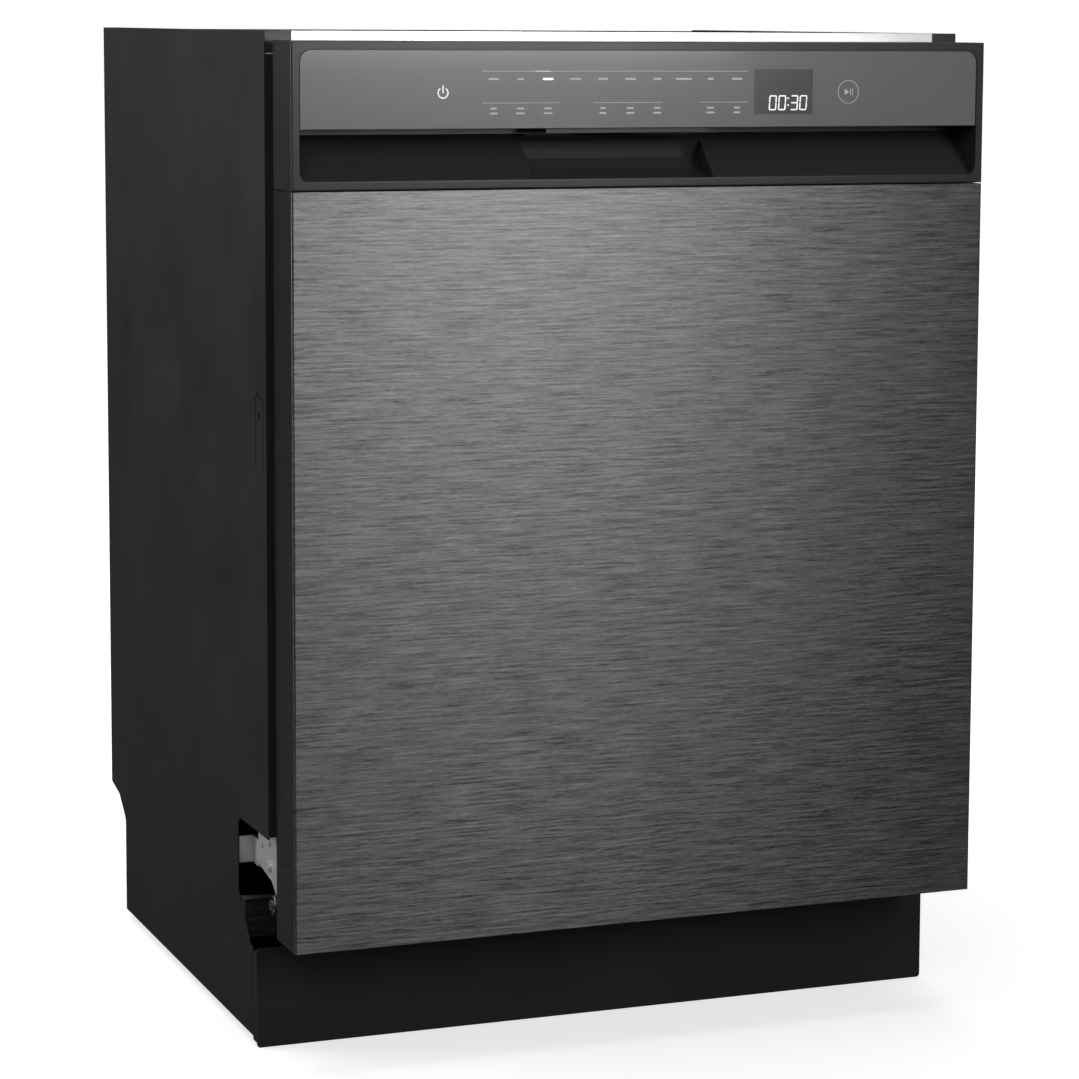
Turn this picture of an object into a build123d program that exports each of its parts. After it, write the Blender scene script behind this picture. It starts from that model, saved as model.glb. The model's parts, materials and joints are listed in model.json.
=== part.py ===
"""A 60 cm built-under dishwasher: cabinet, tub, counterbalanced door, racks and spray arms.

The frame is +X to the right as seen from the front, -Y to the front and +Z up. The origin is
on the floor, at the middle of the bounding box. Depths are measured back from the door's
front face, and y_at() turns a depth into a y. All sizes are in millimetres.
"""

import os

from build123d import *

# ---------------------------------------------------------------- driving dimensions
WIDTH, DEPTH, HEIGHT = 598, 586, 818  # over the side panels, door face to back, floor to top
SHEET = 1.0  # cabinet and tub steel
DOOR_WIDTH, DOOR_BOTTOM, DOOR_TOP = 590, 101.5, 811
DOOR_THICK = 50  # front face to the back edge of the side returns
DOOR_SKIN = 0.8
PANEL_TOP = 696  # top of the brushed panel, where the control fascia begins
CABINET_FRONT = 59  # depth of the cabinet's front edge
HINGE_DEPTH, HINGE_Z = 62, 126  # the door's pivot
PIN_R, RUNNING = 4.0, 0.05  # hinge pin radius, and the radial clearance of a running fit
TUB_HALF, TUB_TOP, TUB_FLOOR = 268, 806, 150  # outside half width, outside top, floor's top
TUB_FRONT, TUB_BACK = 61.2, 570
TUB_CORNER = 30
KICK_DEPTH, KICK_TOP = 95, 82
BASE_BACK = 531  # back of the base tray, in front of the rear notch
GLASS_LEFT, GLASS_RIGHT = -288, 288
GLASS_BOTTOM, GLASS_TOP = 743.5, 804
POCKET_BOTTOM = 702.6
LATCH_LEFT, LATCH_RIGHT = -86, 54  # the finger lever in the handle pocket
DISPLAY_LEFT, DISPLAY_RIGHT, DISPLAY_BOTTOM, DISPLAY_TOP = 89, 140.7, 753.5, 789.4
HUB_DEPTH = 315  # both spray arms turn about x = 0 at this depth
SUMP_X, SUMP_DEPTH = 120, 240
WIRE, WELD = 2.0, 3.0  # rack wire radius, and the distance of two welded wires' centres
LOWER_RACK_Z, UPPER_RACK_Z = 202, 472  # centre height of the racks' bottom wires
RAIL_Z = 535
WHEEL_R, AXLE_R = 18, 3
CUP_X, CUP_Z = -226, 560  # the cup shelf's hinge wire

FRONT = -DEPTH / 2
HALF = WIDTH / 2
DOOR_HALF = DOOR_WIDTH / 2


def y_at(depth):
    """The y of a depth behind the door's front face."""
    return FRONT + depth


def facing(depth):
    """A plane at a depth, seen from the front: local x is x, local y is z, extrude comes forward."""
    return Plane.XZ.offset(-y_at(depth))


def side_on(x):
    """A plane at x, seen from the right: local x is y, local y is z, extrude goes to +X."""
    return Plane.YZ.offset(x)


def slab(x, depth, z, mode=Mode.ADD):
    """A box between two values of x, of depth and of z, in the open BuildPart."""
    centre = ((x[0] + x[1]) / 2, y_at((depth[0] + depth[1]) / 2), (z[0] + z[1]) / 2)
    with Locations(centre):
        Box(abs(x[1] - x[0]), abs(depth[1] - depth[0]), abs(z[1] - z[0]), mode=mode)


def both_slabs(x, depth, z, mode=Mode.ADD):
    """The same box on the right and, mirrored, on the left."""
    slab(x, depth, z, mode)
    slab((-x[1], -x[0]), depth, z, mode)


def rod(start, end, radius):
    """A round bar between two points."""
    axis = Vector(*end) - Vector(*start)
    with BuildPart() as bar:
        with BuildSketch(Plane(origin=start, z_dir=axis)):
            Circle(radius)
        extrude(amount=axis.length)
    return bar.part


def wire(points, bend, radius=WIRE, closed=False):
    """A bent round wire along points, with one bend radius."""
    with BuildPart() as bent:
        with BuildLine() as path:
            FilletPolyline(*points, radius=bend, close=closed)
        with BuildSketch(Plane(origin=path.line @ 0, z_dir=path.line % 0)):
            Circle(radius)
        sweep()
    return bent.part


def arch(half_width, low, high, radius):
    """A flat rectangle from low to high whose two upper corners are rounded."""
    with BuildSketch() as shape:
        with Locations((0, high)):
            Rectangle(2 * half_width, high - low, align=(Align.CENTER, Align.MAX))
        fillet(shape.vertices().group_by(Axis.Y)[-1], radius)
    return shape.sketch


def finish(builder, name):
    """Label a finished piece and write its file."""
    builder.part.label = name
    export_step(builder.part, f"parts/{name}.step")


def at_place(points):
    """A selector for the sketch corners at given depth and z."""
    spots = [Vector(y_at(depth), z, 0) for depth, z in points]
    return lambda v: any((Vector(v.X, v.Y, 0) - spot).length < 0.5 for spot in spots)


os.makedirs("parts", exist_ok=True)

# ---------------------------------------------------------------- cabinet
PANEL_OUTLINE = [
    (CABINET_FRONT, 180), (CABINET_FRONT, HEIGHT), (DEPTH, HEIGHT), (DEPTH, 117),
    (557, 110.5), (533.5, 92), (533.5, 7), (108, 7), (108, 81), (114.6, 81), (149, 116), (149, 180),
]
TAB_LEFT, TAB_RIGHT, TAB_APEX = 67.5, 89.4, 85
TAB_BOTTOM, TAB_SHOULDER, TAB_TOP = 474, 529, 534
FLANGE = 14


def side_panel():
    """The left side panel: a painted sheet with turned-in edges and a side fixing tab."""
    with BuildPart() as panel:
        with BuildSketch(side_on(-HALF)) as outline:
            with BuildLine():
                Polyline(*[(y_at(depth), z) for depth, z in PANEL_OUTLINE], close=True)
            make_face()
            soft = at_place([(557, 110.5), (533.5, 92), (149, 180)])
            fillet(outline.vertices().filter_by(soft), 9)
        extrude(amount=SHEET)
        with BuildSketch(side_on(-HALF)):
            with BuildLine():
                tab = [(TAB_LEFT, TAB_BOTTOM), (TAB_LEFT, TAB_SHOULDER), (TAB_APEX, TAB_TOP),
                       (TAB_RIGHT, TAB_SHOULDER), (TAB_RIGHT, TAB_BOTTOM)]
                Polyline(*[(y_at(depth), z) for depth, z in tab])
            trace(line_width=1.4)
            with Locations((y_at(79.4), 517)):
                SlotOverall(8, 3.4, rotation=90)
        extrude(amount=SHEET, mode=Mode.SUBTRACT)
        inner = (-HALF + SHEET, -HALF + FLANGE)
        slab(inner, (CABINET_FRONT, CABINET_FRONT + SHEET), (182, 800))
        slab(inner, (100, DEPTH), (HEIGHT - SHEET, HEIGHT))
        slab(inner, (DEPTH - SHEET, DEPTH), (120, HEIGHT))
        slab(inner, (112, BASE_BACK), (7, 7 + SHEET))
    return panel.part


with BuildPart() as left_side_panel:
    add(side_panel())
finish(left_side_panel, "left_side_panel")

with BuildPart() as right_side_panel:
    add(left_side_panel.part.mirror(Plane.YZ))
finish(right_side_panel, "right_side_panel")

with BuildPart() as rear_cover:
    slab((-HALF + SHEET, HALF - SHEET), (DEPTH - 2.2, DEPTH - SHEET), (122, HEIGHT - SHEET))
    slab((-HALF + FLANGE, HALF - FLANGE), (BASE_BACK - 1.4, DEPTH - SHEET), (122, 123.4))
    slab((-HALF + FLANGE, HALF - FLANGE), (BASE_BACK - 1.4, BASE_BACK), (74, 123.4))
    with BuildSketch(facing(DEPTH - 2.2)):
        with GridLocations(440, 300, 2, 2):
            with Locations((0, 480)):
                Rectangle(120, 8)
    extrude(amount=4)
finish(rear_cover, "rear_cover")

RAIL_HALF, RAIL_BACK, RAIL_LOW = 277, 98, 811
SCREW_SPACING, SCREW_R, SCREW_DEPTH = 480, 2.75, 80
with BuildPart() as top_front_rail:
    slab((-RAIL_HALF, RAIL_HALF), (CABINET_FRONT, CABINET_FRONT + 1.2), (RAIL_LOW, HEIGHT))
    slab((-RAIL_HALF, RAIL_HALF), (CABINET_FRONT, RAIL_BACK), (HEIGHT - 1.2, HEIGHT))
    slab((-RAIL_HALF, RAIL_HALF), (RAIL_BACK - 1.2, RAIL_BACK), (RAIL_LOW, HEIGHT))
    with Locations((-SCREW_SPACING / 2, y_at(SCREW_DEPTH), HEIGHT),
                   (SCREW_SPACING / 2, y_at(SCREW_DEPTH), HEIGHT)):
        Hole(SCREW_R, depth=4)
finish(top_front_rail, "top_front_rail")

with BuildPart() as top_corner_blocks:
    both_slabs((RAIL_HALF + 0.5, HALF - SHEET), (CABINET_FRONT + 0.4, 99), (801, HEIGHT))
    both_slabs((RAIL_HALF + 5, HALF - 6), (66, 92), (806, HEIGHT), Mode.SUBTRACT)
    both_slabs((RAIL_HALF + 10, HALF - 11), (66, 92), (806, HEIGHT - 1))
finish(top_corner_blocks, "top_corner_blocks")

with BuildPart() as base_tray:
    slab((-295, 295), (112, BASE_BACK), (12, 74))
    fillet(base_tray.edges().filter_by(Axis.Z), 12)
    slab((-292, 292), (115, BASE_BACK - 3), (15, 74), Mode.SUBTRACT)
    for x in (-250, 250):
        for depth in (150, 497):
            with Locations((x, y_at(depth), 27)):
                Cylinder(12, 30)
                Cylinder(5 + RUNNING, 40, mode=Mode.SUBTRACT)
    with BuildSketch(facing(BASE_BACK + 1)):
        with Locations((200, 46)):
            Circle(15.5)
        with Locations((120, 52)):
            Circle(12)
        with Locations((-190, 46)):
            Circle(10.5)
    extrude(amount=6, mode=Mode.SUBTRACT)
finish(base_tray, "base_tray")

with BuildPart() as kick_plate:
    with BuildSketch(facing(KICK_DEPTH + 1.2)):
        with Locations((0, KICK_TOP / 2)):
            RectangleRounded(WIDTH, KICK_TOP, 3)
    extrude(amount=1.2)
    both_slabs((HALF - 1.2, HALF), (KICK_DEPTH, 107), (4, KICK_TOP - 4))
    slab((-270, 270), (KICK_DEPTH, 111), (KICK_TOP - 1.2, KICK_TOP))
finish(kick_plate, "kick_plate")

BRACE_DEPTH, BRACE_LOW, BRACE_HIGH = (132, 168), 82, 114
with BuildPart() as lower_front_brace:
    slab((-HALF + SHEET, HALF - SHEET), (BRACE_DEPTH[0], BRACE_DEPTH[0] + 1.2), (BRACE_LOW, BRACE_HIGH))
    slab((-HALF + SHEET, HALF - SHEET), BRACE_DEPTH, (BRACE_HIGH - 1.2, BRACE_HIGH))
    slab((-HALF + SHEET, HALF - SHEET), BRACE_DEPTH, (BRACE_LOW, BRACE_LOW + 1.2))
    both_slabs((HALF - SHEET - 1.2, HALF - SHEET), BRACE_DEPTH, (BRACE_LOW, BRACE_HIGH))
finish(lower_front_brace, "lower_front_brace")

FOOT_PLACES = {
    "front_left_foot": (-250, 150), "front_right_foot": (250, 150),
    "rear_left_foot": (-250, 497), "rear_right_foot": (250, 497),
}
for foot_name, (foot_x, foot_depth) in FOOT_PLACES.items():
    with BuildPart() as foot:
        with BuildSketch(Plane((foot_x, y_at(foot_depth), 0))):
            RegularPolygon(19, 6)
        extrude(amount=6)
        with BuildSketch(Plane((foot_x, y_at(foot_depth), 0))):
            Circle(21)
        extrude(amount=3)
        with Locations((foot_x, y_at(foot_depth), 6)):
            Cylinder(5, 66, align=(Align.CENTER, Align.CENTER, Align.MIN))
    finish(foot, foot_name)

# ---------------------------------------------------------------- tub
with BuildPart() as tub_wrapper:
    with BuildSketch(facing(TUB_BACK)):
        add(arch(TUB_HALF, TUB_FLOOR, TUB_TOP, TUB_CORNER))
        add(arch(TUB_HALF - SHEET, TUB_FLOOR - 1, TUB_TOP - SHEET, TUB_CORNER - SHEET),
            mode=Mode.SUBTRACT)
    extrude(amount=TUB_BACK - TUB_FRONT)
finish(tub_wrapper, "tub_wrapper")

with BuildPart() as tub_back_wall:
    with BuildSketch(facing(TUB_BACK + SHEET)):
        add(arch(TUB_HALF, TUB_FLOOR, TUB_TOP, TUB_CORNER))
    extrude(amount=SHEET)
finish(tub_back_wall, "tub_back_wall")

with BuildPart() as tub_front_frame:
    with BuildSketch(facing(TUB_FRONT)):
        with Locations((0, 810)):
            Rectangle(2 * (HALF - SHEET), 810 - 186, align=(Align.CENTER, Align.MAX))
        with Locations((0, 186)):
            Rectangle(2 * 274, 186 - 132, align=(Align.CENTER, Align.MAX))
        add(arch(TUB_HALF - SHEET, TUB_FLOOR, TUB_TOP - SHEET, TUB_CORNER - SHEET),
            mode=Mode.SUBTRACT)
    extrude(amount=SHEET)
    slab((RAIL_HALF + 0.5, HALF), (CABINET_FRONT, TUB_FRONT), (800, 812), Mode.SUBTRACT)
    slab((-HALF, -RAIL_HALF - 0.5), (CABINET_FRONT, TUB_FRONT), (800, 812), Mode.SUBTRACT)
finish(tub_front_frame, "tub_front_frame")

FUNNEL_OUTER, FUNNEL_INNER, FUNNEL_DROP = 100, 62, 12
with BuildPart() as tub_floor:
    slab((-TUB_HALF, TUB_HALF), (TUB_FRONT, TUB_BACK + SHEET), (TUB_FLOOR - 3, TUB_FLOOR))
    with Locations((SUMP_X, y_at(SUMP_DEPTH), TUB_FLOOR)):
        Cylinder(FUNNEL_OUTER, 20, mode=Mode.SUBTRACT)
    with BuildSketch(Plane.XZ.offset(-y_at(SUMP_DEPTH))):
        with BuildLine():
            Polyline((SUMP_X + FUNNEL_OUTER, TUB_FLOOR),
                     (SUMP_X + FUNNEL_INNER, TUB_FLOOR - FUNNEL_DROP),
                     (SUMP_X + FUNNEL_INNER, TUB_FLOOR - FUNNEL_DROP - 3),
                     (SUMP_X + FUNNEL_OUTER, TUB_FLOOR - 3), close=True)
        make_face()
    revolve(axis=Axis((SUMP_X, y_at(SUMP_DEPTH), 0), (0, 0, 1)))
finish(tub_floor, "tub_floor")

SEAL_INNER, SEAL_OUTER = 262, 273
with BuildPart() as tub_gasket:
    with BuildSketch(facing(60.2)):
        add(arch(SEAL_OUTER, 168, 809, 34))
        add(arch(SEAL_INNER, 160, 798, 23), mode=Mode.SUBTRACT)
    extrude(amount=8.4)
finish(tub_gasket, "tub_gasket")

with BuildPart() as sump:
    with BuildSketch(Plane.XZ.offset(-y_at(SUMP_DEPTH))):
        with BuildLine():
            Polyline((SUMP_X + 66, 135), (SUMP_X + 66, 100), (SUMP_X + 50, 62), (SUMP_X, 62),
                     (SUMP_X, 65), (SUMP_X + 48, 65), (SUMP_X + 63, 101), (SUMP_X + 63, 135),
                     close=True)
        make_face()
    revolve(axis=Axis((SUMP_X, y_at(SUMP_DEPTH), 0), (0, 0, 1)))
finish(sump, "sump")


def pump(start, end, radius, port):
    """A motor with a wider volute at its start and a round outlet up from it."""
    direction = (Vector(*end) - Vector(*start)).normalized()
    neck = tuple(Vector(*start) + direction * 26)
    spout = tuple(Vector(*start) + direction * 13)
    top = (spout[0], spout[1], spout[2] + port)
    with BuildPart() as machine:
        add([rod(start, neck, radius * 1.25), rod(neck, end, radius), rod(spout, top, 9)])
    return machine.part


with BuildPart() as circulation_pump:
    add(pump((-20, y_at(250), 58), (-190, y_at(250), 58), 30, 60))
finish(circulation_pump, "circulation_pump")

with BuildPart() as drain_pump:
    add(pump((205, y_at(300), 46), (205, y_at(400), 46), 20, 40))
finish(drain_pump, "drain_pump")

FEED_WIDE = 30
with BuildPart() as spray_manifold:
    slab((-FEED_WIDE / 2, FEED_WIDE / 2), (TUB_BACK - 15, TUB_BACK), (TUB_FLOOR, 795))
    fillet(spray_manifold.faces().sort_by(Axis.Y)[0].edges().filter_by(Axis.Z), 5)
    slab((-12, 12), (HUB_DEPTH, TUB_BACK - 10), (TUB_FLOOR, TUB_FLOOR + 9))
    with Locations((0, y_at(HUB_DEPTH), TUB_FLOOR)):
        Cylinder(24, 14, align=(Align.CENTER, Align.CENTER, Align.MIN))
        Cylinder(10, 20, align=(Align.CENTER, Align.CENTER, Align.MIN))
    slab((-12, 12), (TUB_BACK - 140, TUB_BACK - 10), (783, 795))
    with Locations((0, y_at(TUB_BACK - 140), 777)):
        Cylinder(30, 12)
finish(spray_manifold, "spray_manifold")

slope = FUNNEL_DROP / (FUNNEL_OUTER - FUNNEL_INNER)
with BuildPart() as filter_plate:
    with BuildSketch(Plane.XZ.offset(-y_at(SUMP_DEPTH))):
        low = TUB_FLOOR - FUNNEL_DROP + 0.4
        high = low + 30 * slope
        with BuildLine():
            Polyline((SUMP_X + 42, low), (SUMP_X + 62, low), (SUMP_X + 92, high),
                     (SUMP_X + 92, high + 1), (SUMP_X + 61.7, low + 1), (SUMP_X + 42, low + 1),
                     close=True)
        make_face()
    revolve(axis=Axis((SUMP_X, y_at(SUMP_DEPTH), 0), (0, 0, 1)))
finish(filter_plate, "filter_plate")

with BuildPart() as filter_cylinder:
    with Locations((SUMP_X, y_at(SUMP_DEPTH), 78)):
        Cylinder(38, 70, align=(Align.CENTER, Align.CENTER, Align.MIN))
    with Locations((SUMP_X, y_at(SUMP_DEPTH), 81)):
        Cylinder(36, 80, align=(Align.CENTER, Align.CENTER, Align.MIN), mode=Mode.SUBTRACT)
    slab((SUMP_X - 37, SUMP_X + 37), (SUMP_DEPTH - 4, SUMP_DEPTH + 4), (142, 154))
    with Locations((SUMP_X, y_at(SUMP_DEPTH), 115)):
        with PolarLocations(37, 18):
            Box(8, 3.5, 46, mode=Mode.SUBTRACT)
finish(filter_cylinder, "filter_cylinder")


def spray_arm(depth, z, reach, shaft):
    """A flat hollow-looking arm of two tapered blades, on a hub, with a row of jets in each."""
    with BuildPart() as arm:
        with BuildSketch(Plane((0, y_at(depth), z))) as blade:
            with BuildLine():
                Polyline((-reach, -13), (0, -28), (reach, -13), (reach, 13), (0, 28),
                         (-reach, 13), close=True)
            make_face()
            fillet(blade.vertices().filter_by(lambda v: abs(v.X) > 50), 11)
        extrude(amount=11)
        fillet(arm.faces().sort_by(Axis.Z)[-1].edges(), 3)
        with Locations((0, y_at(depth), z - 3)):
            Cylinder(26, 17, align=(Align.CENTER, Align.CENTER, Align.MIN))
        with Locations((0, y_at(depth), z)):
            Cylinder(shaft, 60, mode=Mode.SUBTRACT)
        with Locations(Plane((0, y_at(depth), z + 11))):
            with GridLocations(reach / 3, 0, 6, 1):
                Hole(2, depth=4)
    return arm.part


with BuildPart() as lower_spray_arm:
    add(spray_arm(HUB_DEPTH, TUB_FLOOR + 18, 238, 10.08))
finish(lower_spray_arm, "lower_spray_arm")

with BuildPart() as upper_spray_arm:
    add(spray_arm(HUB_DEPTH, 442, 215, 10.08))
finish(upper_spray_arm, "upper_spray_arm")

RAIL_FRONT, RAIL_END = 76, 540
with BuildPart() as rack_rail_tracks:
    both_slabs((249, 262), (RAIL_FRONT, RAIL_END), (RAIL_Z - 15, RAIL_Z + 15))
    both_slabs((248, 260.4), (RAIL_FRONT - 1, RAIL_END + 1), (RAIL_Z - 13.4, RAIL_Z + 13.4),
               Mode.SUBTRACT)
    for bracket in (110, 300, 500):
        both_slabs((262, TUB_HALF - SHEET), (bracket - 12, bracket + 12), (RAIL_Z - 12, RAIL_Z + 12))
finish(rack_rail_tracks, "rack_rail_tracks")

with BuildPart() as rack_rail_slides:
    both_slabs((246, 260), (RAIL_FRONT, RAIL_END), (RAIL_Z - 13, RAIL_Z + 13))
    both_slabs((245, 258.4), (RAIL_FRONT - 1, RAIL_END + 1), (RAIL_Z - 11.4, RAIL_Z + 11.4),
               Mode.SUBTRACT)
finish(rack_rail_slides, "rack_rail_slides")

STRIKER_DEPTH = TUB_FRONT + 1
with BuildPart() as door_striker:
    add(wire([(-9, y_at(STRIKER_DEPTH), 795), (-9, y_at(44), 795), (9, y_at(44), 795),
              (9, y_at(STRIKER_DEPTH), 795)], 3, 1.8))
    slab((-16, 16), (STRIKER_DEPTH, STRIKER_DEPTH + 1.4), (788, TUB_TOP - SHEET))
    slab((-16, 16), (STRIKER_DEPTH, STRIKER_DEPTH + 20), (TUB_TOP - SHEET - 1.4, TUB_TOP - SHEET))
finish(door_striker, "door_striker")

# ---------------------------------------------------------------- services at the back
with BuildPart() as inlet_valve:
    slab((182, 218), (486, 526), (28, 66))
    add([rod((200, y_at(526), 46), (200, y_at(533), 46), 15),
         rod((200, y_at(533), 46), (200, y_at(549), 46), 13.2)])
    add(rod((200, y_at(530), 46), (200, y_at(560), 46), 8), mode=Mode.SUBTRACT)
finish(inlet_valve, "inlet_valve")

with BuildPart() as drain_spigot:
    add([rod((120, y_at(490), 52), (120, y_at(533), 52), 11.5),
         rod((120, y_at(533), 52), (120, y_at(558), 52), 10)])
    add(rod((120, y_at(500), 52), (120, y_at(560), 52), 7.5), mode=Mode.SUBTRACT)
finish(drain_spigot, "drain_spigot")

with BuildPart() as mains_terminal_box:
    slab((-225, -160), (470, 527), (20, 72))
    add(rod((-190, y_at(527), 46), (-190, y_at(543), 46), 10))
    add(rod((-190, y_at(520), 46), (-190, y_at(545), 46), 4.5), mode=Mode.SUBTRACT)
finish(mains_terminal_box, "mains_terminal_box")

# ---------------------------------------------------------------- hinges
with BuildPart() as hinge_pins:
    for s in (-1, 1):
        add([rod((s * 276, y_at(HINGE_DEPTH), HINGE_Z), (s * 278.5, y_at(HINGE_DEPTH), HINGE_Z), 6.5),
             rod((s * 278.5, y_at(HINGE_DEPTH), HINGE_Z), (s * 297, y_at(HINGE_DEPTH), HINGE_Z), PIN_R)])
finish(hinge_pins, "hinge_pins")

BRACKET = [(62, 115), (96, 137), (134, 143), (134, 140), (154, 140), (154, 162), (134, 162),
           (134, 176), (83, 176), (76, 150), (62, 137)]
with BuildPart() as right_bracket:
    with BuildSketch(side_on(284)):
        with BuildLine():
            Polyline(*[(y_at(depth), z) for depth, z in BRACKET], close=True)
        make_face()
        with Locations((y_at(HINGE_DEPTH), HINGE_Z)):
            Circle(11)
            Circle(PIN_R, mode=Mode.SUBTRACT)
        with Locations((y_at(100), 166), (y_at(122), 160)):
            Circle(2.2, mode=Mode.SUBTRACT)
    extrude(amount=2)
    slab((286, 298), (152, 154), (140, 162))
    add(rod((286, y_at(101), 148), (288.5, y_at(101), 148), 4))
with BuildPart() as hinge_brackets:
    add(right_bracket.part)
    add(right_bracket.part.mirror(Plane.YZ))
finish(hinge_brackets, "hinge_brackets")

with BuildPart() as right_spring:
    with BuildLine() as coil:
        Helix(3.0, 7.5, 7, center=(287.6, y_at(HINGE_DEPTH), HINGE_Z), direction=(1, 0, 0))
    with BuildSketch(Plane(origin=coil.line @ 0, z_dir=coil.line % 0)):
        Circle(1.1)
    sweep(is_frenet=True)
with BuildPart() as door_torsion_springs:
    add(right_spring.part)
    add(right_spring.part.mirror(Plane.YZ))
finish(door_torsion_springs, "door_torsion_springs")

# ---------------------------------------------------------------- door
with BuildPart() as door_outer_panel:
    slab((-DOOR_HALF, DOOR_HALF), (0, DOOR_THICK), (DOOR_BOTTOM, PANEL_TOP))
    front = door_outer_panel.faces().sort_by(Axis.Y)[0]
    fillet(front.edges().filter_by(Axis.Z), 1.6)
    back = door_outer_panel.faces().sort_by(Axis.Y)[-1]
    offset(amount=-DOOR_SKIN, openings=back)
finish(door_outer_panel, "door_outer_panel")

FASCIA_BOTTOM, FASCIA_WALL, FASCIA_BACK = PANEL_TOP + 0.8, 2.5, 48.6
with BuildPart() as control_fascia:
    slab((-DOOR_HALF, DOOR_HALF), (0, FASCIA_BACK), (FASCIA_BOTTOM, DOOR_TOP))
    face = control_fascia.faces().sort_by(Axis.Y)[0]
    fillet(face.edges(), 1.2)
    wall_x = DOOR_HALF - FASCIA_WALL
    slab((-wall_x, wall_x), (5, FASCIA_BACK + 1), (FASCIA_BOTTOM + FASCIA_WALL, DOOR_TOP - FASCIA_WALL),
         Mode.SUBTRACT)
    with BuildSketch(facing(3.4)) as recess:
        with Locations(((GLASS_LEFT + GLASS_RIGHT) / 2, GLASS_BOTTOM - 2)):
            Rectangle(GLASS_RIGHT - GLASS_LEFT + 1.2, GLASS_TOP - GLASS_BOTTOM + 2.6,
                      align=(Align.CENTER, Align.MIN))
        fillet(recess.vertices().group_by(Axis.Y)[-1], 10)
    extrude(amount=10, mode=Mode.SUBTRACT)
    with BuildSketch(facing(6)) as mouth:
        with Locations((0, POCKET_BOTTOM)):
            Rectangle(GLASS_RIGHT - GLASS_LEFT + 1.2, GLASS_BOTTOM - POCKET_BOTTOM,
                      align=(Align.CENTER, Align.MIN))
        fillet(mouth.vertices().group_by(Axis.Y)[0], 9)
    extrude(amount=10, mode=Mode.SUBTRACT)
finish(control_fascia, "control_fascia")

with BuildPart() as console_glass:
    with BuildSketch(facing(3.3)) as pane:
        with Locations((0, GLASS_BOTTOM)):
            Rectangle(GLASS_RIGHT - GLASS_LEFT, GLASS_TOP - GLASS_BOTTOM,
                      align=(Align.CENTER, Align.MIN))
        fillet(pane.vertices().group_by(Axis.Y)[-1], 9.4)
    extrude(amount=3)
    slab((DISPLAY_LEFT, DISPLAY_RIGHT), (0, 4), (DISPLAY_BOTTOM, DISPLAY_TOP), Mode.SUBTRACT)
    chamfer(console_glass.faces().sort_by(Axis.Y)[0].outer_wire().edges(), 0.3)
finish(console_glass, "console_glass")

with BuildPart() as display_window:
    slab((DISPLAY_LEFT, DISPLAY_RIGHT), (0.3, 3.3), (DISPLAY_BOTTOM, DISPLAY_TOP))
finish(display_window, "display_window")

POCKET_WALL, POCKET_BACK = 1.6, 44
RECESS_LEFT, RECESS_RIGHT = LATCH_LEFT - 10, LATCH_RIGHT + 4  # the deeper finger space
POCKET_LEFT, POCKET_RIGHT = GLASS_LEFT, GLASS_RIGHT


def pocket_hollow(left, right, corners):
    """The free space of the handle pocket between two values of x, from its side view."""
    with BuildPart() as hollow:
        with BuildSketch(side_on(left)):
            with BuildLine():
                Polyline(*[(y_at(depth), z) for depth, z in corners], close=True)
            make_face()
        extrude(amount=right - left)
    return hollow.part


with BuildPart() as handle_pocket:
    slab((POCKET_LEFT - 1.6, POCKET_RIGHT + 1.6), (5.2, POCKET_BACK + POCKET_WALL),
         (POCKET_BOTTOM - 2, GLASS_BOTTOM + 2.4))
    add(pocket_hollow(POCKET_LEFT, POCKET_RIGHT,
                      [(5, POCKET_BOTTOM + 1), (8, POCKET_BOTTOM + 1), (POCKET_BACK, 738),
                       (POCKET_BACK, GLASS_BOTTOM + 0.8), (5, GLASS_BOTTOM + 0.8)]),
        mode=Mode.SUBTRACT)
    add(pocket_hollow(RECESS_LEFT, RECESS_RIGHT,
                      [(5, POCKET_BOTTOM + 1), (15, POCKET_BOTTOM + 1), (39, 710),
                       (POCKET_BACK, 718), (36, 738), (20, 738)]), mode=Mode.SUBTRACT)
    slab((LATCH_LEFT - 2, LATCH_RIGHT + 2), (4, POCKET_BACK + 4), (740, 750), Mode.SUBTRACT)
    for left, right in ((POCKET_LEFT - 2, RECESS_LEFT - 2), (RECESS_RIGHT + 2, POCKET_RIGHT + 2)):
        add(pocket_hollow(left, right,
                          [(5, POCKET_BOTTOM - 3), (POCKET_BACK + 2, POCKET_BOTTOM - 3),
                           (POCKET_BACK + 2, 735), (12, POCKET_BOTTOM - 1)]), mode=Mode.SUBTRACT)
    add(pocket_hollow(RECESS_LEFT - 2, RECESS_RIGHT + 2,
                      [(5, POCKET_BOTTOM - 3), (POCKET_BACK + 2, POCKET_BOTTOM - 3),
                       (POCKET_BACK + 2, 716), (40, 707.6), (16, POCKET_BOTTOM - 1)]),
        mode=Mode.SUBTRACT)
finish(handle_pocket, "handle_pocket")

LEVER_DEPTH, LEVER_Z = 40, 743
with BuildPart() as latch_release_lever:
    slab((LATCH_LEFT, LATCH_RIGHT), (7, LEVER_DEPTH), (741.2, 743.1))
    slab((LATCH_LEFT, LATCH_RIGHT), (7, 9), (739.6, 743.1))
    add(rod((LATCH_LEFT, y_at(LEVER_DEPTH), LEVER_Z), (LATCH_RIGHT, y_at(LEVER_DEPTH), LEVER_Z), 2.6))
finish(latch_release_lever, "latch_release_lever")

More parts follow.
